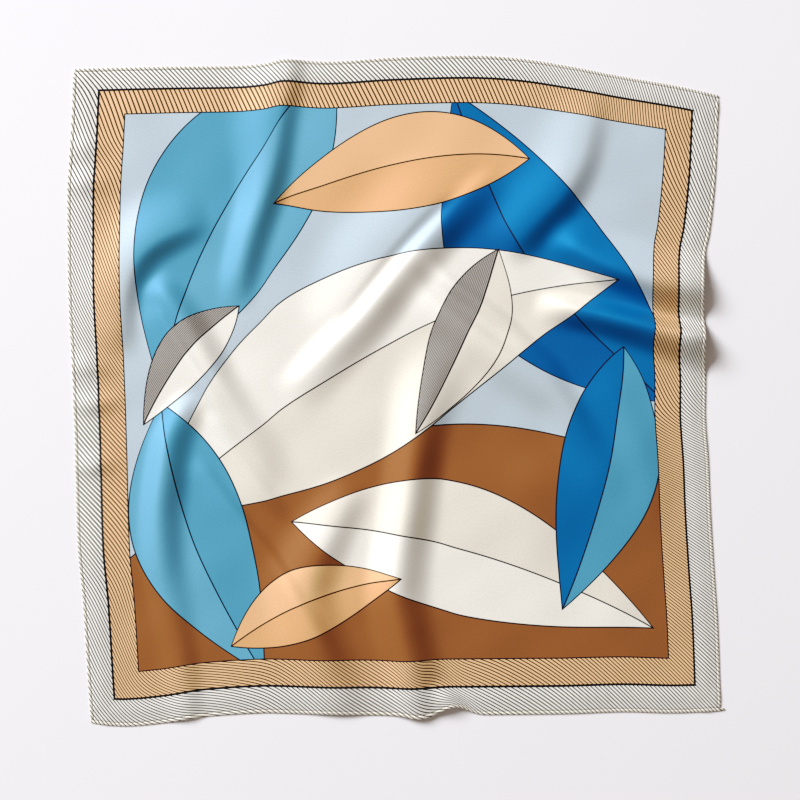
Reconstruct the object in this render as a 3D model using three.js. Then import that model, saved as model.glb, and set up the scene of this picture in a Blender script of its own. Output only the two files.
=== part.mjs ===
// A silk square scarf laid face up on a surface, with the soft folds it falls into.
// Millimetres, Z up. X runs to the scarf's right and Y to its top edge as it lies.
// The origin is at the middle of its box, on the surface that it rests on.
import * as THREE from 'three';

// The finished square, hem to hem, before it folds.
const SIDE = 650;
const HALF = SIDE / 2;

// The cloth is a wall of one thickness, and each edge is turned in a narrow rolled hem.
const WALL = 1.2;
const HEM_WIDTH = 3;
const HEM_HEIGHT = 2.2;
const HEM_CORNER = 0.7;
const SEAM_GAP = 0.3;
const PANEL_HALF = HALF - HEM_WIDTH - SEAM_GAP;

// The lower right corner of the hem ends in a small point past the square.
const TIP_LENGTH = 4;
const TIP_SECTIONS = [{ past: 0.5, scale: 0.75 }, { past: 1, scale: 0.35 }];

// How finely the curved shapes are cut.
const CELLS = 52;
const CREST_STEPS = 8;
const PROBE = 0.5;

// A fold's section is a hump with a narrow top and a long soft foot. This power sets how narrow.
const HUMP_POWER = 4;

// Beside the hem the cloth swells a little before it comes down to its edge.
const EDGE_SWELL_RISE = 0.5;
const EDGE_SWELL_CENTRE = 15;
const EDGE_SWELL_REACH = 15;

// Where each edge lies. "at" is the distance along the flat edge from its middle, and x and y
// are where that point comes to rest. Folds that reach the edge take up more of "at".
const TOP_EDGE = [
  { at: -325, x: -314, y: 316 },
  { at: -235, x: -224, y: 318 },
  { at: -161, x: -151, y: 319 },
  { at: -136, x: -126, y: 321 },
  { at: -113, x: -107, y: 325 },
  { at: -66, x: -64, y: 323 },
  { at: -3, x: -1, y: 327 },
  { at: 77, x: 78, y: 329 },
  { at: 125, x: 125, y: 326 },
  { at: 177, x: 175, y: 318 },
  { at: 219, x: 216, y: 310 },
  { at: 288, x: 283, y: 298 },
  { at: 325, x: 318, y: 290 },
];
const RIGHT_EDGE = [
  { at: -325, x: 320, y: -313 },
  { at: -239, x: 317, y: -228 },
  { at: -194, x: 314, y: -184 },
  { at: -129, x: 310, y: -121 },
  { at: -78, x: 308, y: -71 },
  { at: -34, x: 305, y: -28 },
  { at: 6, x: 305, y: 12 },
  { at: 41, x: 303, y: 43 },
  { at: 67, x: 304, y: 62 },
  { at: 91, x: 303, y: 81 },
  { at: 122, x: 302, y: 105 },
  { at: 162, x: 305, y: 137 },
  { at: 184, x: 309, y: 156 },
  { at: 230, x: 314, y: 201 },
  { at: 266, x: 316, y: 235 },
  { at: 325, x: 318, y: 290 },
];
const BOTTOM_EDGE = [
  { at: -325, x: -297, y: -325 },
  { at: -292, x: -265, y: -328 },
  { at: -252, x: -227, y: -325 },
  { at: -214, x: -190, y: -319 },
  { at: -154, x: -131, y: -315 },
  { at: -108, x: -88, y: -316 },
  { at: -43, x: -25, y: -317 },
  { at: -2, x: 14, y: -318 },
  { at: 41, x: 50, y: -317 },
  { at: 70, x: 72, y: -317 },
  { at: 162, x: 163, y: -316 },
  { at: 226, x: 225, y: -314 },
  { at: 276, x: 275, y: -315 },
  { at: 325, x: 320, y: -313 },
];
const LEFT_EDGE = [
  { at: -325, x: -297, y: -325 },
  { at: -283, x: -300, y: -284 },
  { at: -204, x: -305, y: -206 },
  { at: -150, x: -310, y: -152 },
  { at: -42, x: -313, y: -46 },
  { at: 35, x: -316, y: 31 },
  { at: 92, x: -319, y: 87 },
  { at: 161, x: -320, y: 155 },
  { at: 204, x: -320, y: 198 },
  { at: 256, x: -317, y: 249 },
  { at: 325, x: -314, y: 316 },
];

// Small places where the cloth is drawn aside: the middle, how far it reaches, and the shift.
const TUCKS = [
  { name: 'bottom notch', x: 60, y: -318, reach: 34, shiftX: 0, shiftY: 8 },
  { name: 'beside the notch', x: 24, y: -320, reach: 26, shiftX: 0, shiftY: -3 },
];

// The folds, each a ridge that follows the points of its crest. "rise" is its height there,
// and "left" and "right" are how far it falls away on each side of that way along.
const FOLDS = [
  {
    name: 'upper left fold from the top edge',
    crest: [
      { x: -104, y: 327, rise: 5, left: 26, right: 48 },
      { x: -106, y: 305, rise: 7, left: 27, right: 56 },
      { x: -113, y: 266, rise: 9, left: 28, right: 60 },
      { x: -120, y: 227, rise: 10, left: 29, right: 54 },
      { x: -130, y: 188, rise: 11, left: 29, right: 36 },
      { x: -143, y: 148, rise: 10, left: 29, right: 30 },
      { x: -151, y: 114, rise: 7, left: 27, right: 28 },
      { x: -156, y: 75, rise: 0, left: 26, right: 26 },
    ],
  },
  {
    name: 'curved fold by the left border',
    crest: [
      { x: -178, y: 169, rise: 0, left: 28, right: 44 },
      { x: -205, y: 161, rise: 7, left: 32, right: 50 },
      { x: -229, y: 150, rise: 11, left: 34, right: 52 },
      { x: -246, y: 137, rise: 12, left: 34, right: 52 },
      { x: -259, y: 117, rise: 12, left: 34, right: 52 },
      { x: -266, y: 92, rise: 11, left: 32, right: 46 },
      { x: -270, y: 62, rise: 6, left: 30, right: 40 },
      { x: -273, y: 29, rise: 0, left: 28, right: 30 },
    ],
  },
  {
    name: 'long slant fold on the left',
    crest: [
      { x: -239, y: 113, rise: 0, left: 24, right: 30 },
      { x: -225, y: 96, rise: 8, left: 27, right: 34 },
      { x: -207, y: 70, rise: 10.5, left: 29, right: 36 },
      { x: -187, y: 36, rise: 11, left: 30, right: 34 },
      { x: -169, y: 1, rise: 9.5, left: 31, right: 32 },
      { x: -148, y: -34, rise: 7, left: 34, right: 30 },
      { x: -130, y: -62, rise: 4.5, left: 38, right: 30 },
      { x: -112, y: -98, rise: 0, left: 36, right: 28 },
    ],
  },
  {
    name: 'ridge beside the large slant fold',
    crest: [
      { x: 82, y: 219, rise: 0, left: 18, right: 50 },
      { x: 45, y: 191, rise: 5, left: 19, right: 70 },
      { x: 18, y: 166, rise: 7, left: 20, right: 80 },
      { x: -10, y: 135, rise: 7, left: 20, right: 80 },
      { x: -37, y: 101, rise: 6.5, left: 20, right: 70 },
      { x: -59, y: 72, rise: 4, left: 20, right: 54 },
      { x: -76, y: 47, rise: 0, left: 18, right: 40 },
    ],
  },
  {
    name: 'large slant fold in the middle',
    crest: [
      { x: 109, y: 217, rise: 0, left: 44, right: 22 },
      { x: 74, y: 192, rise: 5, left: 42, right: 22 },
      { x: 45, y: 161, rise: 9, left: 38, right: 24 },
      { x: 18, y: 131, rise: 11.5, left: 38, right: 25 },
      { x: -9, y: 99, rise: 12, left: 38, right: 25 },
      { x: -35, y: 68, rise: 11, left: 40, right: 25 },
      { x: -61, y: 41, rise: 9, left: 42, right: 28 },
      { x: -87, y: 13, rise: 5, left: 44, right: 30 },
      { x: -112, y: -10, rise: 0, left: 40, right: 30 },
    ],
  },
  {
    name: 'upper right fold',
    crest: [
      { x: 196, y: 315, rise: 1, left: 28, right: 56 },
      { x: 193, y: 281, rise: 3, left: 28, right: 62 },
      { x: 188, y: 251, rise: 5.5, left: 30, right: 66 },
      { x: 180, y: 224, rise: 8, left: 32, right: 68 },
      { x: 164, y: 195, rise: 9.5, left: 33, right: 66 },
      { x: 143, y: 173, rise: 9.5, left: 34, right: 64 },
      { x: 122, y: 151, rise: 7.5, left: 34, right: 54 },
      { x: 101, y: 127, rise: 0, left: 32, right: 40 },
    ],
  },
  {
    name: 'slant fold right of the middle',
    crest: [
      { x: 8, y: 117, rise: 0, left: 24, right: 40 },
      { x: 34, y: 90, rise: 5, left: 26, right: 44 },
      { x: 67, y: 64, rise: 9, left: 27, right: 46 },
      { x: 100, y: 40, rise: 10.5, left: 27, right: 48 },
      { x: 132, y: 17, rise: 10.5, left: 28, right: 46 },
      { x: 161, y: -7, rise: 8, left: 28, right: 40 },
      { x: 181, y: -38, rise: 5, left: 30, right: 40 },
      { x: 202, y: -75, rise: 2.5, left: 34, right: 40 },
      { x: 223, y: -116, rise: 0, left: 30, right: 30 },
    ],
  },
  {
    name: 'upper fold to the right edge',
    crest: [
      { x: 148, y: 156, rise: 0, left: 34, right: 28 },
      { x: 177, y: 142, rise: 9, left: 40, right: 30 },
      { x: 202, y: 130, rise: 13, left: 44, right: 31 },
      { x: 231, y: 121, rise: 15, left: 46, right: 32 },
      { x: 266, y: 113, rise: 17, left: 46, right: 33 },
      { x: 312, y: 108, rise: 18, left: 46, right: 34 },
    ],
  },
  {
    name: 'lower fold to the right edge',
    crest: [
      { x: 135, y: 90, rise: 0, left: 18, right: 32 },
      { x: 169, y: 83, rise: 8, left: 22, right: 34 },
      { x: 202, y: 79, rise: 12, left: 24, right: 36 },
      { x: 233, y: 72, rise: 15, left: 26, right: 39 },
      { x: 263, y: 65, rise: 18, left: 28, right: 42 },
      { x: 290, y: 59, rise: 20, left: 30, right: 45 },
      { x: 316, y: 54, rise: 21, left: 30, right: 46 },
    ],
  },
  {
    name: 'long fold to the bottom edge',
    crest: [
      { x: 51, y: 60, rise: 0, left: 50, right: 54 },
      { x: 45, y: 26, rise: 4, left: 50, right: 56 },
      { x: 35, y: -3, rise: 8, left: 46, right: 54 },
      { x: 25, y: -33, rise: 11, left: 42, right: 46 },
      { x: 19, y: -72, rise: 13, left: 40, right: 42 },
      { x: 12, y: -121, rise: 14, left: 40, right: 40 },
      { x: 4, y: -170, rise: 14, left: 42, right: 40 },
      { x: 2, y: -204, rise: 13, left: 44, right: 42 },
      { x: 8, y: -239, rise: 12, left: 44, right: 46 },
      { x: 21, y: -268, rise: 11, left: 42, right: 48 },
      { x: 38, y: -300, rise: 10, left: 38, right: 46 },
      { x: 52, y: -337, rise: 9, left: 36, right: 44 },
    ],
  },
  {
    name: 'upright fold by the left border',
    crest: [
      { x: -187, y: -1, rise: 0, left: 24, right: 22 },
      { x: -206, y: -21, rise: 6, left: 30, right: 26 },
      { x: -220, y: -48, rise: 10, left: 33, right: 27 },
      { x: -227, y: -87, rise: 11.5, left: 35, right: 27 },
      { x: -230, y: -126, rise: 11, left: 35, right: 28 },
      { x: -227, y: -165, rise: 8.5, left: 33, right: 30 },
      { x: -220, y: -204, rise: 5, left: 32, right: 32 },
      { x: -212, y: -244, rise: 4, left: 30, right: 34 },
      { x: -206, y: -283, rise: 3, left: 28, right: 34 },
      { x: -202, y: -317, rise: 2, left: 26, right: 32 },
      { x: -198, y: -346, rise: 1, left: 24, right: 30 },
    ],
  },
  {
    name: 'broad fold left of the long one',
    crest: [
      { x: -31, y: -85, rise: 0, left: 26, right: 34 },
      { x: -47, y: -109, rise: 5, left: 32, right: 44 },
      { x: -63, y: -138, rise: 8.5, left: 36, right: 54 },
      { x: -78, y: -167, rise: 10, left: 42, right: 60 },
      { x: -85, y: -196, rise: 10, left: 46, right: 60 },
      { x: -84, y: -229, rise: 9.5, left: 52, right: 58 },
      { x: -77, y: -263, rise: 8, left: 58, right: 54 },
      { x: -67, y: -297, rise: 4, left: 56, right: 50 },
      { x: -58, y: -332, rise: 0, left: 46, right: 44 },
    ],
  },
  {
    name: 'shallow slope by the right border',
    crest: [
      { x: 187, y: 41, rise: 0, left: 36, right: 70 },
      { x: 212, y: -3, rise: 3, left: 42, right: 80 },
      { x: 233, y: -52, rise: 4, left: 46, right: 80 },
      { x: 245, y: -101, rise: 3, left: 46, right: 80 },
      { x: 253, y: -165, rise: 0, left: 40, right: 70 },
    ],
  },
  {
    name: 'broad swell at the lower right',
    crest: [
      { x: 45, y: -106, rise: 0, left: 60, right: 90 },
      { x: 104, y: -97, rise: 3, left: 70, right: 110 },
      { x: 163, y: -97, rise: 4, left: 70, right: 110 },
      { x: 241, y: -106, rise: 0, left: 60, right: 90 },
    ],
  },
];

// A smooth hump, one at its middle and level with the surface at its foot.
function hump(ratio) {
  return Math.max(0, 1 - ratio * ratio) ** HUMP_POWER;
}

// How fast a table's column changes at one of its rows.
function slopeAt(rows, column, index) {
  const before = rows[Math.max(index - 1, 0)];
  const after = rows[Math.min(index + 1, rows.length - 1)];
  return (after[column] - before[column]) / (after.at - before.at);
}

// A smooth curve through a table's column, read at any place.
function readTable(rows, column, at) {
  let index = 0;
  while (index < rows.length - 2 && rows[index + 1].at < at) {
    index += 1;
  }
  const from = rows[index];
  const to = rows[index + 1];
  const span = to.at - from.at;
  const t = (at - from.at) / span;
  const start = slopeAt(rows, column, index) * span;
  const end = slopeAt(rows, column, index + 1) * span;
  const bend = 3 * (to[column] - from[column]) - 2 * start - end;
  const twist = start + end - 2 * (to[column] - from[column]);
  return from[column] + t * (start + t * (bend + t * twist));
}

// Where one point of the flat square lies from above, blended from its four edges.
function blendEdges(column, u, v) {
  const right = (u + HALF) / SIDE;
  const up = (v + HALF) / SIDE;
  const upright = readTable(BOTTOM_EDGE, column, u) * (1 - up) + readTable(TOP_EDGE, column, u) * up;
  const level = readTable(LEFT_EDGE, column, v) * (1 - right) + readTable(RIGHT_EDGE, column, v) * right;
  const low = LEFT_EDGE[0][column] * (1 - right) + RIGHT_EDGE[0][column] * right;
  const high = TOP_EDGE[0][column] * (1 - right) + TOP_EDGE.at(-1)[column] * right;
  return upright + level - low * (1 - up) - high * up;
}

// The same, with the small tucks.
function planPoint(u, v) {
  const place = new THREE.Vector2(blendEdges('x', u, v), blendEdges('y', u, v));
  const pull = new THREE.Vector2();
  for (const tuck of TUCKS) {
    const share = hump(Math.hypot(place.x - tuck.x, place.y - tuck.y) / tuck.reach);
    pull.x += tuck.shiftX * share;
    pull.y += tuck.shiftY * share;
  }
  return place.add(pull);
}

// A smooth curve through a row of four values, read between the middle two.
function throughValues(before, from, to, after, t) {
  const start = (to - before) / 2;
  const end = (after - from) / 2;
  const bend = 3 * (to - from) - 2 * start - end;
  const twist = start + end - 2 * (to - from);
  return from + t * (start + t * (bend + t * twist));
}

// A point past a crest's end. The way runs straight on, and the rise and widths level out.
function pastEnd(end, inner) {
  return { ...inner, x: 2 * end.x - inner.x, y: 2 * end.y - inner.y };
}

// One point of a crest between two of its rows.
function crestPoint(rows, index, t) {
  const last = rows.length - 1;
  const from = rows[index];
  const to = rows[index + 1];
  const before = rows[index - 1] ?? pastEnd(from, to);
  const after = index + 2 > last ? pastEnd(to, from) : rows[index + 2];
  const read = (column) => throughValues(before[column], from[column], to[column], after[column], t);
  return { x: read('x'), y: read('y'), rise: read('rise'), left: read('left'), right: read('right') };
}

// A fold's crest as closely spaced points.
function crestOf(fold) {
  const rows = fold.crest;
  const points = [];
  for (let i = 0; i < rows.length - 1; i += 1) {
    for (let k = 0; k < CREST_STEPS; k += 1) {
      points.push(crestPoint(rows, i, k / CREST_STEPS));
    }
  }
  points.push(rows.at(-1));
  return points;
}

const CRESTS = FOLDS.map(crestOf);

// The nearest place on a crest: the two points round it, how far between them, and how far off.
function nearestOnCrest(crest, place) {
  let best = { off: Infinity };
  for (let i = 0; i < crest.length - 1; i += 1) {
    const [from, to] = [crest[i], crest[i + 1]];
    const [stepX, stepY] = [to.x - from.x, to.y - from.y];
    const [reachX, reachY] = [place.x - from.x, place.y - from.y];
    const length = Math.hypot(stepX, stepY);
    const t = THREE.MathUtils.clamp((reachX * stepX + reachY * stepY) / length ** 2, 0, 1);
    const [awayX, awayY] = [reachX - t * stepX, reachY - t * stepY];
    const off = Math.hypot(awayX, awayY);
    if (off < best.off) {
      const side = off > 0 ? (stepX * awayY - stepY * awayX) / (length * off) : 0;
      best = { from, to, t, off, side };
    }
  }
  return best;
}

// How much one fold lifts a place.
function foldHeight(crest, place) {
  const { from, to, t, off, side } = nearestOnCrest(crest, place);
  const [rise, left, right] = ['rise', 'left', 'right'].map((key) => from[key] + t * (to[key] - from[key]));
  const reach = (left * (1 + side) + right * (1 - side)) / 2;
  return Math.max(0, rise) * hump(off / reach);
}

// The low swell beside the hems, from the distance to the nearest edge on each side.
function edgeSwell(u, v) {
  const beside = [HALF - Math.abs(u), HALF - Math.abs(v)];
  const swells = beside.map((inward) => hump((inward - EDGE_SWELL_CENTRE) / EDGE_SWELL_REACH));
  return EDGE_SWELL_RISE * Math.max(...swells);
}

// The underside of the cloth at a point of the flat square.
function undersidePoint(u, v) {
  const place = planPoint(u, v);
  const lifts = CRESTS.map((crest) => foldHeight(crest, place));
  const height = lifts.reduce((sum, lift) => sum + lift, edgeSwell(u, v));
  return new THREE.Vector3(place.x, place.y, height);
}

// The way out of the face side at a point of the flat square.
function facing(u, v) {
  const across = undersidePoint(u + PROBE, v).sub(undersidePoint(u - PROBE, v));
  const upward = undersidePoint(u, v + PROBE).sub(undersidePoint(u, v - PROBE));
  return across.cross(upward).normalize();
}

// A point above the underside, measured square to the cloth.
function clothPoint(u, v, above) {
  return undersidePoint(u, v).addScaledVector(facing(u, v), above);
}

// Evenly spaced values from one end to the other, both kept.
function spread(from, to, count) {
  return Array.from({ length: count + 1 }, (_, i) => from + ((to - from) * i) / count);
}

// A closed body from points and faces of three or four corners.
function bodyFrom(points, faces) {
  const geometry = new THREE.BufferGeometry();
  geometry.setFromPoints(points);
  geometry.setIndex(faces.flatMap(([a, b, c, d]) => (d === undefined ? [a, b, c] : [a, b, c, a, c, d])));
  geometry.computeVertexNormals();
  return geometry;
}

// The corners of one cell of the panel, turned so that it is split along the way the cloth runs.
function cellCorners(points, steps, i, j) {
  const a = i * steps.length + j;
  const corners = [a, a + steps.length, a + steps.length + 1, a + 1];
  const middle = undersidePoint((steps[i] + steps[i + 1]) / 2, (steps[j] + steps[j + 1]) / 2);
  const [first, second] = [0, 1].map((k) => {
    const halfway = points[corners[k]].clone().lerp(points[corners[k + 2]], 0.5);
    return Math.abs(halfway.z - middle.z);
  });
  return first <= second ? corners : [...corners.slice(1), corners[0]];
}

// The faces that close the rim between two layers of points along each side of a grid.
function rimFaces(cells, layerSize) {
  const row = cells + 1;
  const faces = [];
  for (let i = 0; i < cells; i += 1) {
    const pair = [i, i + 1];
    const rims = [
      pair.map((k) => k * row).reverse(),
      pair.map((k) => k * row + cells),
      pair,
      pair.map((k) => cells * row + k).reverse(),
    ];
    faces.push(...rims.map(([from, to]) => [from, to, to + layerSize, from + layerSize]));
  }
  return faces;
}

// The silk panel: its face side, its underside and the thin rim between them.
function panelGeometry() {
  const steps = spread(-PANEL_HALF, PANEL_HALF, CELLS);
  const flat = steps.flatMap((u) => steps.map((v) => [u, v]));
  const face = flat.map(([u, v]) => clothPoint(u, v, WALL));
  const underside = flat.map(([u, v]) => undersidePoint(u, v));
  const faces = rimFaces(CELLS, flat.length);
  for (let i = 0; i < CELLS; i += 1) {
    for (let j = 0; j < CELLS; j += 1) {
      const corners = cellCorners(underside, steps, i, j);
      faces.push(corners, corners.map((corner) => corner + flat.length).reverse());
    }
  }
  return bodyFrom([...face, ...underside], faces);
}

// The hem's section, flat below where it rests: distance outward from the seam, and height.
function hemSection() {
  const low = HEM_CORNER / 2;
  return [
    [low, 0], [HEM_WIDTH - low, 0], [HEM_WIDTH, low], [HEM_WIDTH, HEM_HEIGHT - HEM_CORNER],
    [HEM_WIDTH - HEM_CORNER, HEM_HEIGHT], [HEM_CORNER, HEM_HEIGHT], [0, HEM_HEIGHT - HEM_CORNER], [0, low],
  ];
}

// A rolled hem along one edge. "place" gives the flat point for a distance along and outward.
function hemGeometry(stations, place) {
  const section = hemSection();
  const count = section.length;
  const points = stations.flatMap(({ along, scale }) => section.map(([out, above]) => {
    const [u, v] = place(along, HALF - HEM_WIDTH / 2 + (out - HEM_WIDTH / 2) * scale);
    return clothPoint(u, v, above * scale);
  }));
  const faces = [];
  for (let i = 0; i < stations.length - 1; i += 1) {
    for (let j = 0; j < count; j += 1) {
      const a = i * count + j;
      const b = i * count + ((j + 1) % count);
      faces.push([a, b, b + count, a + count]);
    }
  }
  const last = points.length - count;
  for (let j = 1; j < count - 1; j += 1) {
    faces.push([0, j + 1, j]);
    faces.push([last, last + j, last + j + 1]);
  }
  return bodyFrom(points, faces);
}

// Turns a body's faces round if they point inward.
function faceOut(geometry) {
  const at = geometry.attributes.position;
  const index = geometry.index.array;
  const [a, b, c] = [new THREE.Vector3(), new THREE.Vector3(), new THREE.Vector3()];
  let volume = 0;
  for (let i = 0; i < index.length; i += 3) {
    a.fromBufferAttribute(at, index[i]);
    b.fromBufferAttribute(at, index[i + 1]);
    c.fromBufferAttribute(at, index[i + 2]);
    volume += a.dot(b.cross(c));
  }
  if (volume < 0) {
    index.reverse();
    geometry.computeVertexNormals();
  }
  return geometry;
}

// The stations along a hem, as wide as given.
function hemStations(reach) {
  return spread(-reach, reach, CELLS).map((along) => ({ along, scale: 1 }));
}

// The four hems. The top and bottom ones run the full width, and the side ones fit between.
function hemGeometries() {
  const full = hemStations(HALF);
  const between = hemStations(PANEL_HALF);
  const tip = TIP_SECTIONS.map(({ past, scale }) => ({ along: HALF + past * TIP_LENGTH, scale }));
  return {
    hem_top: hemGeometry(full, (along, out) => [along, out]),
    hem_right: hemGeometry(between, (along, out) => [out, along]),
    hem_bottom: hemGeometry([...full, ...tip], (along, out) => [along, -out]),
    hem_left: hemGeometry(between, (along, out) => [-out, along]),
  };
}

const SILK = { color: 0x9db4c4, roughness: 0.45, metalness: 0 };
const HEM_SILK = { color: 0xcfc8bb, roughness: 0.5, metalness: 0 };

// One named mesh with its own material.
function namedMesh(name, geometry, look) {
  const mesh = new THREE.Mesh(faceOut(geometry), new THREE.MeshStandardMaterial(look));
  mesh.name = name;
  return mesh;
}

const scarf = new THREE.Group();
scarf.add(namedMesh('silk_panel', panelGeometry(), SILK));
for (const [name, geometry] of Object.entries(hemGeometries())) {
  scarf.add(namedMesh(name, geometry, HEM_SILK));
}

// The edge tables are measured from a nearby point, so the scarf is moved to stand on its origin.
const box = new THREE.Box3().setFromObject(scarf);
const boxMiddle = box.getCenter(new THREE.Vector3());
for (const mesh of scarf.children) {
  mesh.geometry.translate(-boxMiddle.x, -boxMiddle.y, -box.min.z);
}

export default scarf;
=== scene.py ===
"""Dresses the silk square scarf: printed twill laid on a pale surface, with four rolled hems."""

import logging
import math
from dataclasses import dataclass, field
from enum import Enum

import bpy
import numpy as np
from mathutils.bvhtree import BVHTree
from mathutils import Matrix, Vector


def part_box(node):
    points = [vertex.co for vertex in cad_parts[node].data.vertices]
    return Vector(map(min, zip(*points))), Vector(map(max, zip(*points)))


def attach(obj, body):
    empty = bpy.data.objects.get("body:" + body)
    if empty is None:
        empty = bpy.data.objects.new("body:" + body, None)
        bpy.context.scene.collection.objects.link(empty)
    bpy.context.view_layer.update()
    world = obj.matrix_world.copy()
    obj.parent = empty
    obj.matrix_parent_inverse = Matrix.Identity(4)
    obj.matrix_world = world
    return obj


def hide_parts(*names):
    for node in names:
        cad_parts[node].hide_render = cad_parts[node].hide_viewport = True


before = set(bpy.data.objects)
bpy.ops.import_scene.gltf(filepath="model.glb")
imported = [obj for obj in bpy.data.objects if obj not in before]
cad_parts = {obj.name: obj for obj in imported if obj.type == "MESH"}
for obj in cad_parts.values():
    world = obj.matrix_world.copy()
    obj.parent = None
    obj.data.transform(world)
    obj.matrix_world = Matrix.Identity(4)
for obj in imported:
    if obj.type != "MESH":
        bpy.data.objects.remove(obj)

LOG = logging.getLogger("scarf")
MM = 0.001
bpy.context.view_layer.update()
Tree = bpy.types.NodeTree
Socket = bpy.types.NodeSocket
Material = bpy.types.Material
Piece = bpy.types.Object
Rows = np.ndarray | float
Table = tuple[tuple[float, ...], ...]
# Blender's noise lies mostly between these, and its wave of scale one repeats at this length.
NOISE_LOW = 0.3
NOISE_HIGH = 0.7
WAVE_LENGTH = 0.314

# The finished square, hem to hem, before it folds, in millimetres.
SIDE = 650.0
HALF = SIDE / 2
HEM_WIDTH = 3.0
SEAM_GAP = 0.3
PANEL_HALF = HALF - HEM_WIDTH - SEAM_GAP


class Side(Enum):
    """The four sides of the square, each with the way outward from its middle."""

    TOP = (0, 1)
    RIGHT = (1, 0)
    BOTTOM = (0, -1)
    LEFT = (-1, 0)

    def place(self, along: Rows, outward: Rows) -> tuple[Rows, Rows]:
        """Turns distances along a side and outward from the middle into places across and up."""
        out_x, out_y = self.value
        return outward * out_x + along * abs(out_y), outward * out_y + along * abs(out_x)


@dataclass(frozen=True)
class Fold:
    """One ridge in the cloth. Each crest row is x, y, rise, and its reach to the left and right."""

    name: str
    crest: Table


@dataclass(frozen=True)
class Tuck:
    """A small place where the cloth is drawn aside: its middle, reach and shift."""

    name: str
    x: float
    y: float
    reach: float
    shift_x: float
    shift_y: float


# Where each edge lies. The columns are the distance along the flat edge, and x and y at rest.
EDGES: dict[Side, Table] = {
    Side.TOP: (
        (-325, -314, 316), (-235, -224, 318), (-161, -151, 319), (-136, -126, 321), (-113, -107, 325),
        (-66, -64, 323), (-3, -1, 327), (77, 78, 329), (125, 125, 326), (177, 175, 318),
        (219, 216, 310), (288, 283, 298), (325, 318, 290),
    ),
    Side.RIGHT: (
        (-325, 320, -313), (-239, 317, -228), (-194, 314, -184), (-129, 310, -121), (-78, 308, -71),
        (-34, 305, -28), (6, 305, 12), (41, 303, 43), (67, 304, 62), (91, 303, 81), (122, 302, 105),
        (162, 305, 137), (184, 309, 156), (230, 314, 201), (266, 316, 235), (325, 318, 290),
    ),
    Side.BOTTOM: (
        (-325, -297, -325), (-292, -265, -328), (-252, -227, -325), (-214, -190, -319),
        (-154, -131, -315), (-108, -88, -316), (-43, -25, -317), (-2, 14, -318), (41, 50, -317),
        (70, 72, -317), (162, 163, -316), (226, 225, -314), (276, 275, -315), (325, 320, -313),
    ),
    Side.LEFT: (
        (-325, -297, -325), (-283, -300, -284), (-204, -305, -206), (-150, -310, -152), (-42, -313, -46),
        (35, -316, 31), (92, -319, 87), (161, -320, 155), (204, -320, 198), (256, -317, 249),
        (325, -314, 316),
    ),
}

TUCKS = (
    Tuck("bottom notch", 60, -318, 34, 0, 8),
    Tuck("beside the notch", 24, -320, 26, 0, -3),
)

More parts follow.
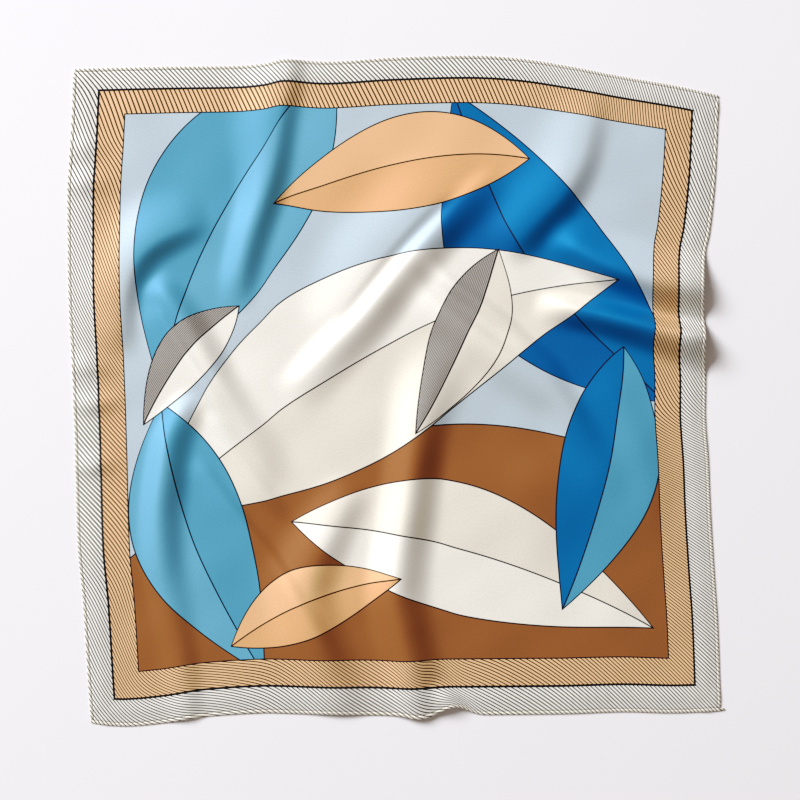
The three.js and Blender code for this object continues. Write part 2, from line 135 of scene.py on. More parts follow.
# The main folds. They are those of the solids, some of them a few millimetres aside or steeper.
MAIN_FOLDS = (
    Fold("upper left fold from the top edge", (
        (-104, 327, 4, 26, 54), (-106, 305, 6, 27, 64), (-113, 266, 8.5, 28, 66), (-120, 227, 10, 29, 54),
        (-130, 188, 11, 29, 36), (-143, 148, 10, 29, 30), (-151, 114, 7, 27, 28), (-156, 75, 0, 26, 26))),
    Fold("curved fold by the left border", (
        (-178, 169, 0, 28, 44), (-205, 161, 7, 29, 56), (-229, 150, 10, 30, 62), (-246, 137, 10, 29, 64),
        (-259, 117, 8.5, 27, 62), (-266, 92, 7.5, 26, 56), (-270, 62, 5, 28, 44), (-273, 29, 0, 28, 30))),
    Fold("long slant fold on the left", (
        (-239, 113, 0, 24, 30), (-225, 96, 8, 27, 34), (-207, 70, 10.5, 29, 36), (-187, 36, 11, 30, 34),
        (-169, 1, 9.5, 31, 32), (-148, -34, 7, 34, 30), (-130, -62, 4.5, 38, 30), (-112, -98, 0, 36, 28))),
    Fold("ridge beside the large slant fold", (
        (82, 219, 0, 18, 50), (45, 191, 5, 19, 70), (18, 166, 7, 20, 80), (-10, 135, 7, 20, 80),
        (-37, 101, 6.5, 20, 70), (-59, 72, 4, 20, 54), (-76, 47, 0, 18, 40))),
    Fold("large slant fold in the middle", (
        (109, 217, 0, 44, 22), (74, 192, 5, 42, 22), (45, 161, 9, 38, 24), (18, 131, 11.5, 38, 25),
        (-9, 99, 12, 38, 25), (-35, 68, 11, 40, 25), (-61, 41, 9, 42, 28), (-87, 13, 5, 44, 30),
        (-112, -10, 0, 40, 30))),
    Fold("upper right fold", (
        (194, 305, 0, 28, 56), (192, 279, 2, 28, 62), (188, 251, 5.5, 30, 66), (180, 224, 8, 32, 68),
        (164, 195, 9.5, 33, 66), (143, 173, 9.5, 34, 64), (122, 151, 7.5, 34, 54), (101, 127, 0, 32, 40))),
    Fold("slant fold right of the middle", (
        (8, 117, 0, 24, 40), (34, 90, 5, 26, 44), (67, 64, 9, 27, 46), (100, 40, 10.5, 27, 48),
        (132, 17, 10.5, 28, 46), (161, -7, 8, 28, 40), (181, -38, 5, 30, 40), (202, -75, 2.5, 34, 40),
        (223, -116, 0, 30, 30))),
    Fold("upper fold to the right edge", (
        (148, 156, 0, 34, 28), (177, 140, 11, 40, 27), (202, 126, 16, 44, 29), (231, 115, 18.5, 46, 32),
        (266, 106, 18.5, 46, 38), (312, 100, 15, 46, 41))),
    Fold("lower fold to the right edge", (
        (135, 90, 0, 18, 32), (169, 82, 11, 20, 30), (202, 75, 16, 20, 30), (233, 67, 19, 21, 32),
        (263, 59, 20, 21, 36), (290, 53, 20.5, 23, 39), (316, 47, 16, 26, 43))),
    Fold("long fold to the bottom edge", (
        (51, 60, 0, 50, 54), (45, 26, 4, 50, 56), (35, -3, 8, 46, 54), (25, -33, 11, 42, 46),
        (19, -72, 13, 40, 42), (12, -121, 14, 40, 40), (4, -170, 14, 42, 40), (2, -204, 13, 44, 42),
        (9, -239, 12.5, 42, 42), (16, -268, 12, 42, 40), (22, -296, 8.5, 40, 38), (28, -330, 4, 36, 36))),
    Fold("upright fold by the left border", (
        (-187, -1, 0, 24, 22), (-206, -21, 6, 30, 26), (-220, -48, 10, 33, 27), (-227, -87, 11.5, 35, 27),
        (-230, -126, 11, 35, 28), (-227, -165, 8.5, 33, 30), (-220, -204, 5, 32, 32),
        (-212, -244, 4, 28, 34), (-206, -283, 4, 26, 34), (-202, -317, 3, 24, 32), (-198, -346, 1, 24, 30))),
    Fold("broad fold left of the long one", (
        (-31, -85, 0, 26, 34), (-47, -109, 5, 32, 44), (-63, -138, 8.5, 36, 54), (-78, -167, 10, 42, 60),
        (-85, -196, 10.5, 42, 60), (-80, -229, 10.5, 44, 58), (-68, -263, 9.5, 46, 54),
        (-54, -297, 6, 42, 50), (-44, -332, 1, 36, 44))),
    Fold("shallow slope by the right border", (
        (187, 41, 0, 36, 70), (212, -3, 3, 42, 80), (233, -52, 4, 46, 80), (245, -101, 3, 46, 80),
        (253, -165, 0, 40, 70))),
    Fold("broad swell at the lower right", (
        (45, -106, 0, 60, 90), (104, -97, 3, 70, 110), (163, -97, 4, 70, 110), (241, -106, 0, 60, 90))),
)

# Finer creases and ripples that the solids leave out.
FINE_FOLDS = (
    Fold("ridge left of the long slant fold", (
        (-239, 92, 0, 12, 30), (-228, 70, 4, 13, 36), (-211, 44, 5.5, 14, 40), (-194, 18, 5.5, 14, 38),
        (-179, -5, 4, 15, 34), (-165, -28, 2.5, 16, 28), (-148, -53, 0, 16, 24))),
    Fold("upper slant crease", (
        (-186, -16, 0, 14, 14), (-174, -33, 2, 16, 16), (-157, -59, 3, 18, 16), (-139, -85, 3, 18, 16),
        (-122, -106, 2.5, 18, 16), (-96, -134, 0, 16, 14))),
    Fold("lower slant crease", (
        (-200, -62, 0, 14, 22), (-184, -81, 2.5, 15, 26), (-163, -110, 3.5, 15, 28),
        (-143, -136, 3.5, 15, 28), (-123, -160, 3.5, 16, 28), (-107, -187, 4, 18, 30),
        (-90, -216, 4, 20, 32), (-71, -247, 3, 22, 32), (-48, -283, 0, 20, 28))),
    Fold("upper ridge right of the middle", (
        (25, 133, 0, 14, 20), (52, 108, 4.5, 15, 22), (79, 89, 5.5, 15, 24), (104, 69, 5.5, 16, 24),
        (126, 49, 5, 16, 24), (150, 27, 3.5, 18, 22), (175, 0, 0, 16, 20))),
    Fold("fold above the notch in the bottom edge", (
        (36, -284, 0, 20, 22), (50, -302, 6, 22, 26), (62, -320, 7, 24, 30), (70, -342, 5, 26, 32))),
    Fold("left border ripple, first", (
        (-320, 237, 1, 22, 22), (-300, 240, 1.6, 20, 24), (-272, 236, 0, 16, 20))),
    Fold("left border ripple, second", (
        (-321, 203, 1.2, 22, 22), (-300, 205, 2.2, 20, 22), (-268, 201, 0, 16, 20))),
    Fold("left border ripple, third", (
        (-316, 24, 1.2, 24, 18), (-296, 24, 2, 24, 18), (-262, 20, 0, 20, 16))),
    Fold("left border ripple, fourth", (
        (-314, -12, 1.4, 18, 18), (-292, -12, 2.8, 18, 18), (-258, -8, 0, 16, 18))),
    Fold("left border ripple, fifth", (
        (-310, -74, 1.4, 24, 18), (-292, -72, 2.8, 22, 18), (-262, -68, 0, 20, 18))),
)

# Faint waves all over the cloth. The columns are the way they run in degrees, their length and rise.
SOFT_WAVES = ((18, 64, 0.16), (74, 83, 0.2), (127, 49, 0.1), (163, 97, 0.2))


def hump(ratio: Rows, power: float = 4) -> Rows:
    """A smooth hump, one at its middle and level with the surface at its foot."""
    return np.clip(1 - ratio * ratio, 0, None) ** power


def smooth_curve(low: Rows, high: Rows, start: Rows, end: Rows, t: Rows) -> Rows:
    """Finds places on the smooth curve between two rows, from its slopes at both."""
    rise = high - low
    return low + t * (start + t * (3 * rise - 2 * start - end + t * (start + end - 2 * rise)))


def read_table(rows: Rows, at: Rows) -> Rows:
    """Reads a smooth curve through a table whose first column is the place along.

    Args:
        rows: The table, one row for each place.
        at: The places to read.

    Returns:
        The other columns at those places.
    """
    place = rows[:, 0]
    index = np.clip(np.searchsorted(place, at, side="right") - 1, 0, len(rows) - 2)
    before = np.maximum(np.arange(len(rows)) - 1, 0)
    after = np.minimum(np.arange(len(rows)) + 1, len(rows) - 1)
    slopes = (rows[after, 1:] - rows[before, 1:]) / (place[after] - place[before])[:, None]
    span = (place[index + 1] - place[index])[:, None]
    t = (at - place[index])[:, None] / span
    low, high = rows[index, 1:], rows[index + 1, 1:]
    return smooth_curve(low, high, slopes[index] * span, slopes[index + 1] * span, t)


@dataclass
class Drape:
    """The way the flat square lies: from a place on the cut to a place in the world."""

    folds: tuple[Fold, ...] = MAIN_FOLDS + FINE_FOLDS
    crest_steps: int = 8
    probe: float = 0.5
    rim_steps: int = 300
    swell_rise: float = 0.5
    swell_centre: float = 15.0
    swell_reach: float = 15.0
    wave_bend: float = 14.0
    wave_bend_length: float = 71.0
    wave_fade: float = 40.0
    shift: np.ndarray = field(default_factory=lambda: np.zeros(3))

    def __post_init__(self) -> None:
        """Turns the tables into arrays and the crests into closely spaced points."""
        self.edges = {side: np.array(rows, float) for side, rows in EDGES.items()}
        self.crests = [self.crest_points(np.array(fold.crest, float)) for fold in self.folds]

    def crest_points(self, rows: Rows) -> Rows:
        """Follows a smooth curve through a crest's rows.

        Args:
            rows: The crest's rows of x, y, rise, left and right.

        Returns:
            Closely spaced rows along the crest.
        """
        level = np.array([0, 0, 1, 1, 1])
        first = level * rows[1] + (1 - level) * (2 * rows[0] - rows[1])
        last = level * rows[-2] + (1 - level) * (2 * rows[-1] - rows[-2])
        around = np.vstack([first, rows, last])
        points = []
        for before, low, high, after in zip(around, around[1:], around[2:], around[3:]):
            start, end = (high - before) / 2, (after - low) / 2
            for step in range(self.crest_steps):
                points.append(smooth_curve(low, high, start, end, step / self.crest_steps))
        return np.array([*points, rows[-1]])

    def plan(self, u: Rows, v: Rows) -> tuple[Rows, Rows]:
        """Places flat points as they are seen from above.

        Args:
            u: Distances across the flat square.
            v: Distances up it.

        Returns:
            The x and y of each point.
        """
        right, up = ((u + HALF) / SIDE)[:, None], ((v + HALF) / SIDE)[:, None]
        top, bottom = self.edges[Side.TOP], self.edges[Side.BOTTOM]
        left_edge, right_edge = self.edges[Side.LEFT], self.edges[Side.RIGHT]
        upright = read_table(bottom, u) * (1 - up) + read_table(top, u) * up
        level = read_table(left_edge, v) * (1 - right) + read_table(right_edge, v) * right
        low = left_edge[0, 1:] * (1 - right) + right_edge[0, 1:] * right
        high = top[0, 1:] * (1 - right) + top[-1, 1:] * right
        x, y = (upright + level - low * (1 - up) - high * up).T
        pull_x, pull_y = np.zeros_like(x), np.zeros_like(y)
        for tuck in TUCKS:
            share = hump(np.hypot(x - tuck.x, y - tuck.y) / tuck.reach)
            pull_x += tuck.shift_x * share
            pull_y += tuck.shift_y * share
        return x + pull_x, y + pull_y

    def fold_height(self, crest: Rows, x: Rows, y: Rows) -> Rows:
        """How much one fold lifts each place.

        Args:
            crest: The fold's crest as closely spaced rows.
            x: Places across.
            y: Places up.

        Returns:
            The lift at each place.
        """
        lift = np.zeros_like(x)
        margin = crest[:, 3:].max()
        low, high = crest[:, :2].min(axis=0) - margin, crest[:, :2].max(axis=0) + margin
        near = (x > low[0]) & (x < high[0]) & (y > low[1]) & (y < high[1])
        if not near.any():
            return lift
        px, py = x[near], y[near]
        best = np.full(px.shape, np.inf)
        values = np.zeros((4, len(px)))
        for start, end in zip(crest, crest[1:]):
            step = end - start
            length = math.hypot(step[0], step[1])
            reach_x, reach_y = px - start[0], py - start[1]
            t = np.clip((reach_x * step[0] + reach_y * step[1]) / length**2, 0, 1)
            away_x, away_y = reach_x - t * step[0], reach_y - t * step[1]
            off = np.hypot(away_x, away_y)
            side = (step[0] * away_y - step[1] * away_x) / (length * np.maximum(off, 1e-9))
            found = np.vstack([start[2:, None] + t * step[2:, None], side[None]])
            closer = off < best
            best = np.where(closer, off, best)
            values = np.where(closer, found, values)
        rise, left, right, side = values
        reach = (left * (1 + side) + right * (1 - side)) / 2
        lift[near] = np.maximum(rise, 0) * hump(best / reach)
        return lift

    def underside(self, u: Rows, v: Rows) -> Rows:
        """Finds the underside of the cloth.

        Args:
            u: Distances across the flat square.
            v: Distances up it.

        Returns:
            Rows of x, y, z.
        """
        x, y = self.plan(u, v)
        swells = [hump((HALF - np.abs(way) - self.swell_centre) / self.swell_reach) for way in (u, v)]
        z = self.swell_rise * np.maximum(*swells)
        for crest in self.crests:
            z = z + self.fold_height(crest, x, y)
        return np.column_stack([x, y, z + self.waves(x, y)])

    def waves(self, x: Rows, y: Rows) -> Rows:
        """Finds the faint waves of the cloth, which die away at the hems.

        Args:
            x: Places across.
            y: Places up.

        Returns:
            The lift at each place.
        """
        inward = HALF - np.maximum(np.abs(x), np.abs(y))
        total = np.zeros_like(x)
        for turn, length, rise in SOFT_WAVES:
            way = math.radians(turn)
            along = x * math.cos(way) + y * math.sin(way)
            across = y * math.cos(way) - x * math.sin(way)
            bent = along + self.wave_bend * np.sin(across / self.wave_bend_length + turn)
            total += rise * (1 + np.sin(bent * 2 * math.pi / length + turn))
        return total * np.clip(inward / self.wave_fade, 0, 1)

    def cloth(self, u: Rows, v: Rows, above: Rows) -> Rows:
        """Places points above the underside, measured square to the cloth.

        Args:
            u: Distances across the flat square.
            v: Distances up it.
            above: How far above the underside.

        Returns:
            Rows of x, y, z in metres, where the scarf lies in the frame.
        """
        across = self.underside(u + self.probe, v) - self.underside(u - self.probe, v)
        upward = self.underside(u, v + self.probe) - self.underside(u, v - self.probe)
        facing = np.cross(across, upward)
        facing /= np.linalg.norm(facing, axis=1)[:, None]
        lift = np.broadcast_to(np.asarray(above, float), u.shape)[:, None]
        return (self.underside(u, v) + facing * lift + self.shift) * MM

    def seat(self, node: str) -> None:
        """Moves the drape so that its panel lies where the solid one does.

        Args:
            node: The solid panel's node.
        """
        along = np.linspace(-PANEL_HALF, PANEL_HALF, self.rim_steps)
        rim = np.full_like(along, PANEL_HALF)
        u = np.concatenate([along, along, rim, -rim])
        v = np.concatenate([rim, -rim, along, along])
        points = self.underside(u, v)
        low, high = (np.array(corner[:2]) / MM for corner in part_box(node))
        middle = (points[:, :2].min(axis=0) + points[:, :2].max(axis=0)) / 2
        self.shift[:2] = (low + high) / 2 - middle
        LOG.info("drape seated on %s, moved by %s mm", node, self.shift[:2].round(2))


# How the border's hatch lies along each side of the square. The columns are the place along, the
# angle of the lines from level in degrees, and their spacing in millimetres.
HATCH: dict[Side, Table] = {
    Side.LEFT: (
        (-325, 50, 3.1), (-290, 60, 3.0), (-250, 66, 2.9), (-215, 63, 2.8), (-175, 52, 3.1), (-135, 45, 3.3),
        (-100, 43, 3.5), (-55, 48, 3.6), (-15, 55, 3.4), (30, 64, 3.0), (70, 64, 2.6), (110, 66, 2.6),
        (150, 63, 2.7), (190, 58, 3.0), (225, 57, 3.4), (255, 65, 3.3), (285, 62, 3.3), (325, 45, 3.1),
    ),
    Side.TOP: (
        (-325, 45, 3.1), (-200, 47, 3.1), (100, 48, 3.1), (150, 51, 2.8), (185, 56, 2.65), (220, 65, 2.5),
        (260, 70, 2.7), (290, 67, 2.9), (325, 67, 3.0),
    ),
    Side.BOTTOM: (
        (-325, 50, 3.1), (-300, 45, 3.2), (-275, 28, 2.9), (-244, 21, 2.7), (-214, 9, 2.7), (-174, 20, 2.8),
        (-134, 32, 3.2), (-92, 39, 3.1), (-51, 30, 3.3), (-15, 26, 3.2), (10, 17, 2.8), (32, 16, 3.0),
        (60, 28, 2.6), (100, 29, 3.0), (142, 34, 3.1), (182, 41, 3.0), (222, 44, 3.0), (325, 47, 3.0),
    ),
    Side.RIGHT: (
        (-325, 46, 3.1), (-270, 44, 3.0), (-235, 41, 2.9), (-195, 37, 2.75), (-155, 34, 2.7), (-115, 30, 2.6),
        (-75, 23, 2.5), (-35, 29, 2.5), (5, 57, 2.8), (40, 67, 2.8), (80, 70, 3.0), (115, 56, 3.05),
        (150, 59, 3.1), (190, 55, 3.1), (227, 61, 3.3), (268, 68, 3.1), (325, 68, 3.1),
    ),
}


@dataclass(frozen=True)
class BorderPrint:
    """The two hatched bands of the border, as sizes on the flat square in millimetres."""

    outer_left: float = 25.5
    outer_right: float = 27.0
    outer_bottom: float = 27.0
    outer_top: float = 22.0
    inner_side: float = 26.5
    inner_top: float = 24.5
    black_line: float = 2.1
    inner_line: float = 1.1
    top_lean: float = 0.1
    steps: int = 1300
    # How the lines of one side give way to those of the next at a corner.
    corner_reach: float = 8.0
    corner_power: int = 3

    def along_side(self, side: Side) -> Rows:
        """Follows one side's hatch.

        Args:
            side: The side.

        Returns:
            Rows of the place along, the lines counted from its start, and the lines to a
            millimetre across.
        """
        along = np.linspace(-HALF, HALF, self.steps + 1)
        angle, spacing = read_table(np.array(HATCH[side], float), along).T
        level, upright = np.sin(np.radians(angle)) / spacing, np.cos(np.radians(angle)) / spacing
        way, across = (upright, level) if side in (Side.LEFT, Side.RIGHT) else (level, upright)
        steps = (way[1:] + way[:-1]) / 2 * SIDE / self.steps
        return np.column_stack([along, np.concatenate([[0], np.cumsum(steps)]), across])

    def phase(self, u: Rows, v: Rows) -> Rows:
        """Counts the hatch lines up to each point of the flat square.

        Args:
            u: Distances across the flat square.
            v: Distances up it.

        Returns:
            The count at each point. The four sides' counts run into one another at the corners.
        """
        sides = {side: self.along_side(side) for side in HATCH}
        ends = {side: rows[-1, 1] for side, rows in sides.items()}
        gap = (ends[Side.LEFT] + ends[Side.TOP] - ends[Side.BOTTOM] - ends[Side.RIGHT]) / 4
        starts = {Side.LEFT: 0.0, Side.BOTTOM: 0.0, Side.TOP: ends[Side.LEFT] - gap,
                  Side.RIGHT: ends[Side.BOTTOM] + gap}
        count, total = np.zeros_like(u), np.zeros_like(u)
        for side, rows in sides.items():
            out_x, out_y = side.value
            sign = out_x + out_y
            inward = HALF - (u * out_x + v * out_y)
            along = np.clip(v if out_x else u, -HALF, HALF)
            share = (along + HALF) / SIDE
            even = gap * share * (-1 if side in (Side.LEFT, Side.TOP) else 1)
            across = np.interp(along, rows[:, 0], rows[:, 2])
            counted = np.interp(along, rows[:, 0], rows[:, 1])
            here = starts[side] + counted + even - sign * inward * across
            if side is Side.TOP:
                here = here + self.top_lean * np.clip(inward - self.outer_top, 0, None)
            weight = 1 / (np.maximum(inward, 0) + self.corner_reach) ** self.corner_power
            count += weight * here
            total += weight
        return count / total


def linear(code: str) -> tuple[float, ...]:
    """Turns an sRGB hex colour into linear values, opaque."""
    parts = [int(code[i : i + 2], 16) / 255 for i in (1, 3, 5)]
    return (*(c / 12.92 if c <= 0.04045 else ((c + 0.055) / 1.055) ** 2.4 for c in parts), 1.0)


def add_node(tree: Tree, kind: str, inputs: dict, **settings: object) -> bpy.types.Node:
    """Adds a node to a tree.

    Args:
        tree: The tree it goes in.
        kind: The node's type, after the word ShaderNode.
        inputs: For each input, its value, or the socket or the node that it is linked to.
        settings: The node's own settings.

    Returns:
        The new node.
    """
    made = tree.nodes.new("ShaderNode" + kind)
    for name, value in settings.items():
        setattr(made, name, value)
    for key, value in inputs.items():
        value = value.outputs[0] if isinstance(value, bpy.types.Node) else value
        if isinstance(value, Socket):
            tree.links.new(value, made.inputs[key])
        else:
            made.inputs[key].default_value = value
    return made


def new_material(name: str) -> tuple[Material, Tree]:
    """Starts a material.

    Args:
        name: Its name.

    Returns:
        The material and its empty tree.
    """
    material = bpy.data.materials.new(name)
    material.use_nodes = True
    material.node_tree.nodes.clear()
    return material, material.node_tree


class Dye(Enum):
    """The colours of the print."""

    SKY = "#b9c8d1"
    TEAL = "#5594b4"
    LIGHT_TEAL = "#64a2c1"
    ROYAL = "#00689e"
    DEEP_ROYAL = "#005c92"
    IVORY = "#f2eee4"
    CREAM = "#e8e1d3"
    BROWN = "#895a38"
    LIGHT_BROWN = "#94623f"
    TAN = "#e9b785"
    SAND = "#dea775"
    GREY = "#a8a29b"
    INK = "#1b1a1c"


@dataclass(frozen=True)
class HatchInk:
    """A hatch's two colours, and the share of its pitch that each line takes."""

    ground: str
    line: str
    share: float


OUTER_INK = HatchInk("#f0ede6", "#24211d", 0.34)
INNER_INK = HatchInk("#ecc092", "#33281c", 0.34)
HEM_INK = HatchInk("#efeadf", "#57503f", 0.36)
FINE_INK = HatchInk(Dye.GREY.value, "#5f5a55", 0.45)


@dataclass(frozen=True)
class Leaf:
    """One broad leaf of the print: its middle, size, turn, bow and the colours of its halves."""

    name: str
    x: float
    y: float
    length: float
    width: float
    turn: float
    bow: float
    taper: float
    upper: Dye
    lower: Dye
    hatched: bool = False


LEAVES = (
    Leaf("brown ground leaf", 30, -330, 1100, 560, 6, 0.0, 0.05, Dye.BROWN, Dye.LIGHT_BROWN),
    Leaf("teal leaf", -150, 165, 370, 165, 62, 0.30, 0.25, Dye.TEAL, Dye.LIGHT_TEAL),
    Leaf("royal leaf", 170, 135, 380, 165, -54, -0.30, 0.25, Dye.ROYAL, Dye.DEEP_ROYAL),
    Leaf("large ivory leaf", -5, -4, 540, 186, 26, 0.34, -0.15, Dye.IVORY, Dye.CREAM),
    Leaf("tan leaf", 10, 205, 260, 92, 10, 0.34, 0.25, Dye.TAN, Dye.SAND),
    Leaf("hatched leaf", 70, 40, 210, 74, 64, -0.34, 0.20, Dye.GREY, Dye.CREAM, True),
    Leaf("low teal leaf", -192, -150, 290, 112, 108, 0.30, 0.25, Dye.LIGHT_TEAL, Dye.TEAL),
    Leaf("low ivory leaf", 75, -190, 380, 124, -16, 0.34, -0.20, Dye.CREAM, Dye.IVORY),
    Leaf("low royal leaf", 205, -95, 270, 96, 74, -0.30, 0.25, Dye.ROYAL, Dye.TEAL),
    Leaf("low tan leaf", -90, -225, 190, 66, 20, 0.36, -0.25, Dye.TAN, Dye.SAND),
    Leaf("small hatched leaf", -205, 25, 150, 56, 48, 0.34, 0.20, Dye.GREY, Dye.IVORY, True),
)


@dataclass(frozen=True)
class SilkTwill:
    """Silk twill, woven in a steep diagonal, which gives the eye a soft satin sheen in the dye's
    own hue on the lit side of each fold, deep colour on the far side and a faint fine grain."""

    name: str
    roughness: float = 0.62
    ior: float = 1.8
    gloss: float = 1.0
    # The sheen is the dye's hue, less full and lighter.
    tint: float = 0.85
    lighten: float = 0.5
    fade: float = 0.0
    faded_to: str = "#efece6"
    # The true twill has about 20 ribs to the centimetre, too fine to show, so it is drawn coarser.
    twill_pitch: float = 1.1
    twill_turn: float = 63.0
    twill_depth: float = 0.0001
    twill_strength: float = 0.12
    grain_size: float = 1.6
    grain_low: float = 0.94
    grain_high: float = 1.06

    def start(self) -> tuple[Material, Tree, Socket, Socket]:
        """Starts a material.

        Returns:
            The material, its empty tree, the place on the flat square in millimetres, and the
            count of hatch lines there.
        """
        material, tree = new_material(self.name)
        flat = add_node(tree, "UVMap", {}, uv_map="cut")
        spot = add_node(tree, "VectorMath", {
            0: flat, 1: (SIDE, SIDE, 0), 2: (-HALF, -HALF, 0)}, operation="MULTIPLY_ADD")
        hatch = add_node(tree, "UVMap", {}, uv_map="hatch")
        lines = add_node(tree, "SeparateXYZ", {0: hatch})
        return material, tree, spot.outputs[0], lines.outputs[0]

    def finish(self, tree: Tree, spot: Socket, colour: Socket) -> None:
        """Gives a printed colour the grain, weave and sheen of silk.

        Args:
            tree: The material's tree.
            spot: The place on the flat square, in millimetres.
            colour: The print's colour.
        """
        grain = add_node(tree, "TexNoise", {"Vector": spot, "Scale": 1 / self.grain_size, "Detail": 2.0})
        tone = add_node(tree, "MapRange", {
            0: grain, 1: NOISE_LOW, 2: NOISE_HIGH, 3: self.grain_low, 4: self.grain_high}, clamp=False)
        grained = add_node(tree, "VectorMath", {0: colour, "Scale": tone}, operation="SCALE")
        faded = add_node(tree, "Mix", {
            0: self.fade, 6: grained, 7: linear(self.faded_to)}, data_type="RGBA")
        parts = add_node(tree, "SeparateColor", {0: faded.outputs[2]}, mode="HSV")
        softer = add_node(tree, "Math", {0: parts.outputs[1], 1: self.tint}, operation="MULTIPLY")
        lighter = add_node(tree, "Math", {0: parts.outputs[2], 1: self.lighten}, operation="POWER")
        sheen = add_node(tree, "CombineColor", {0: parts, 1: softer, 2: lighter}, mode="HSV")
        turned = add_node(tree, "Mapping", {0: spot, 2: (0, 0, math.radians(self.twill_turn))})
        twill = add_node(tree, "TexWave", {
            "Vector": turned, "Scale": WAVE_LENGTH / self.twill_pitch, "Distortion": 0.6, "Detail": 1.0})
        bump = add_node(tree, "Bump", {
            "Height": twill.outputs[1], "Strength": self.twill_strength, "Distance": self.twill_depth})
        shader = add_node(tree, "BsdfPrincipled", {
            "Base Color": faded.outputs[2], "Roughness": self.roughness, "IOR": self.ior,
            "Specular IOR Level": self.gloss, "Specular Tint": sheen, "Normal": bump})
        add_node(tree, "OutputMaterial", {0: shader})


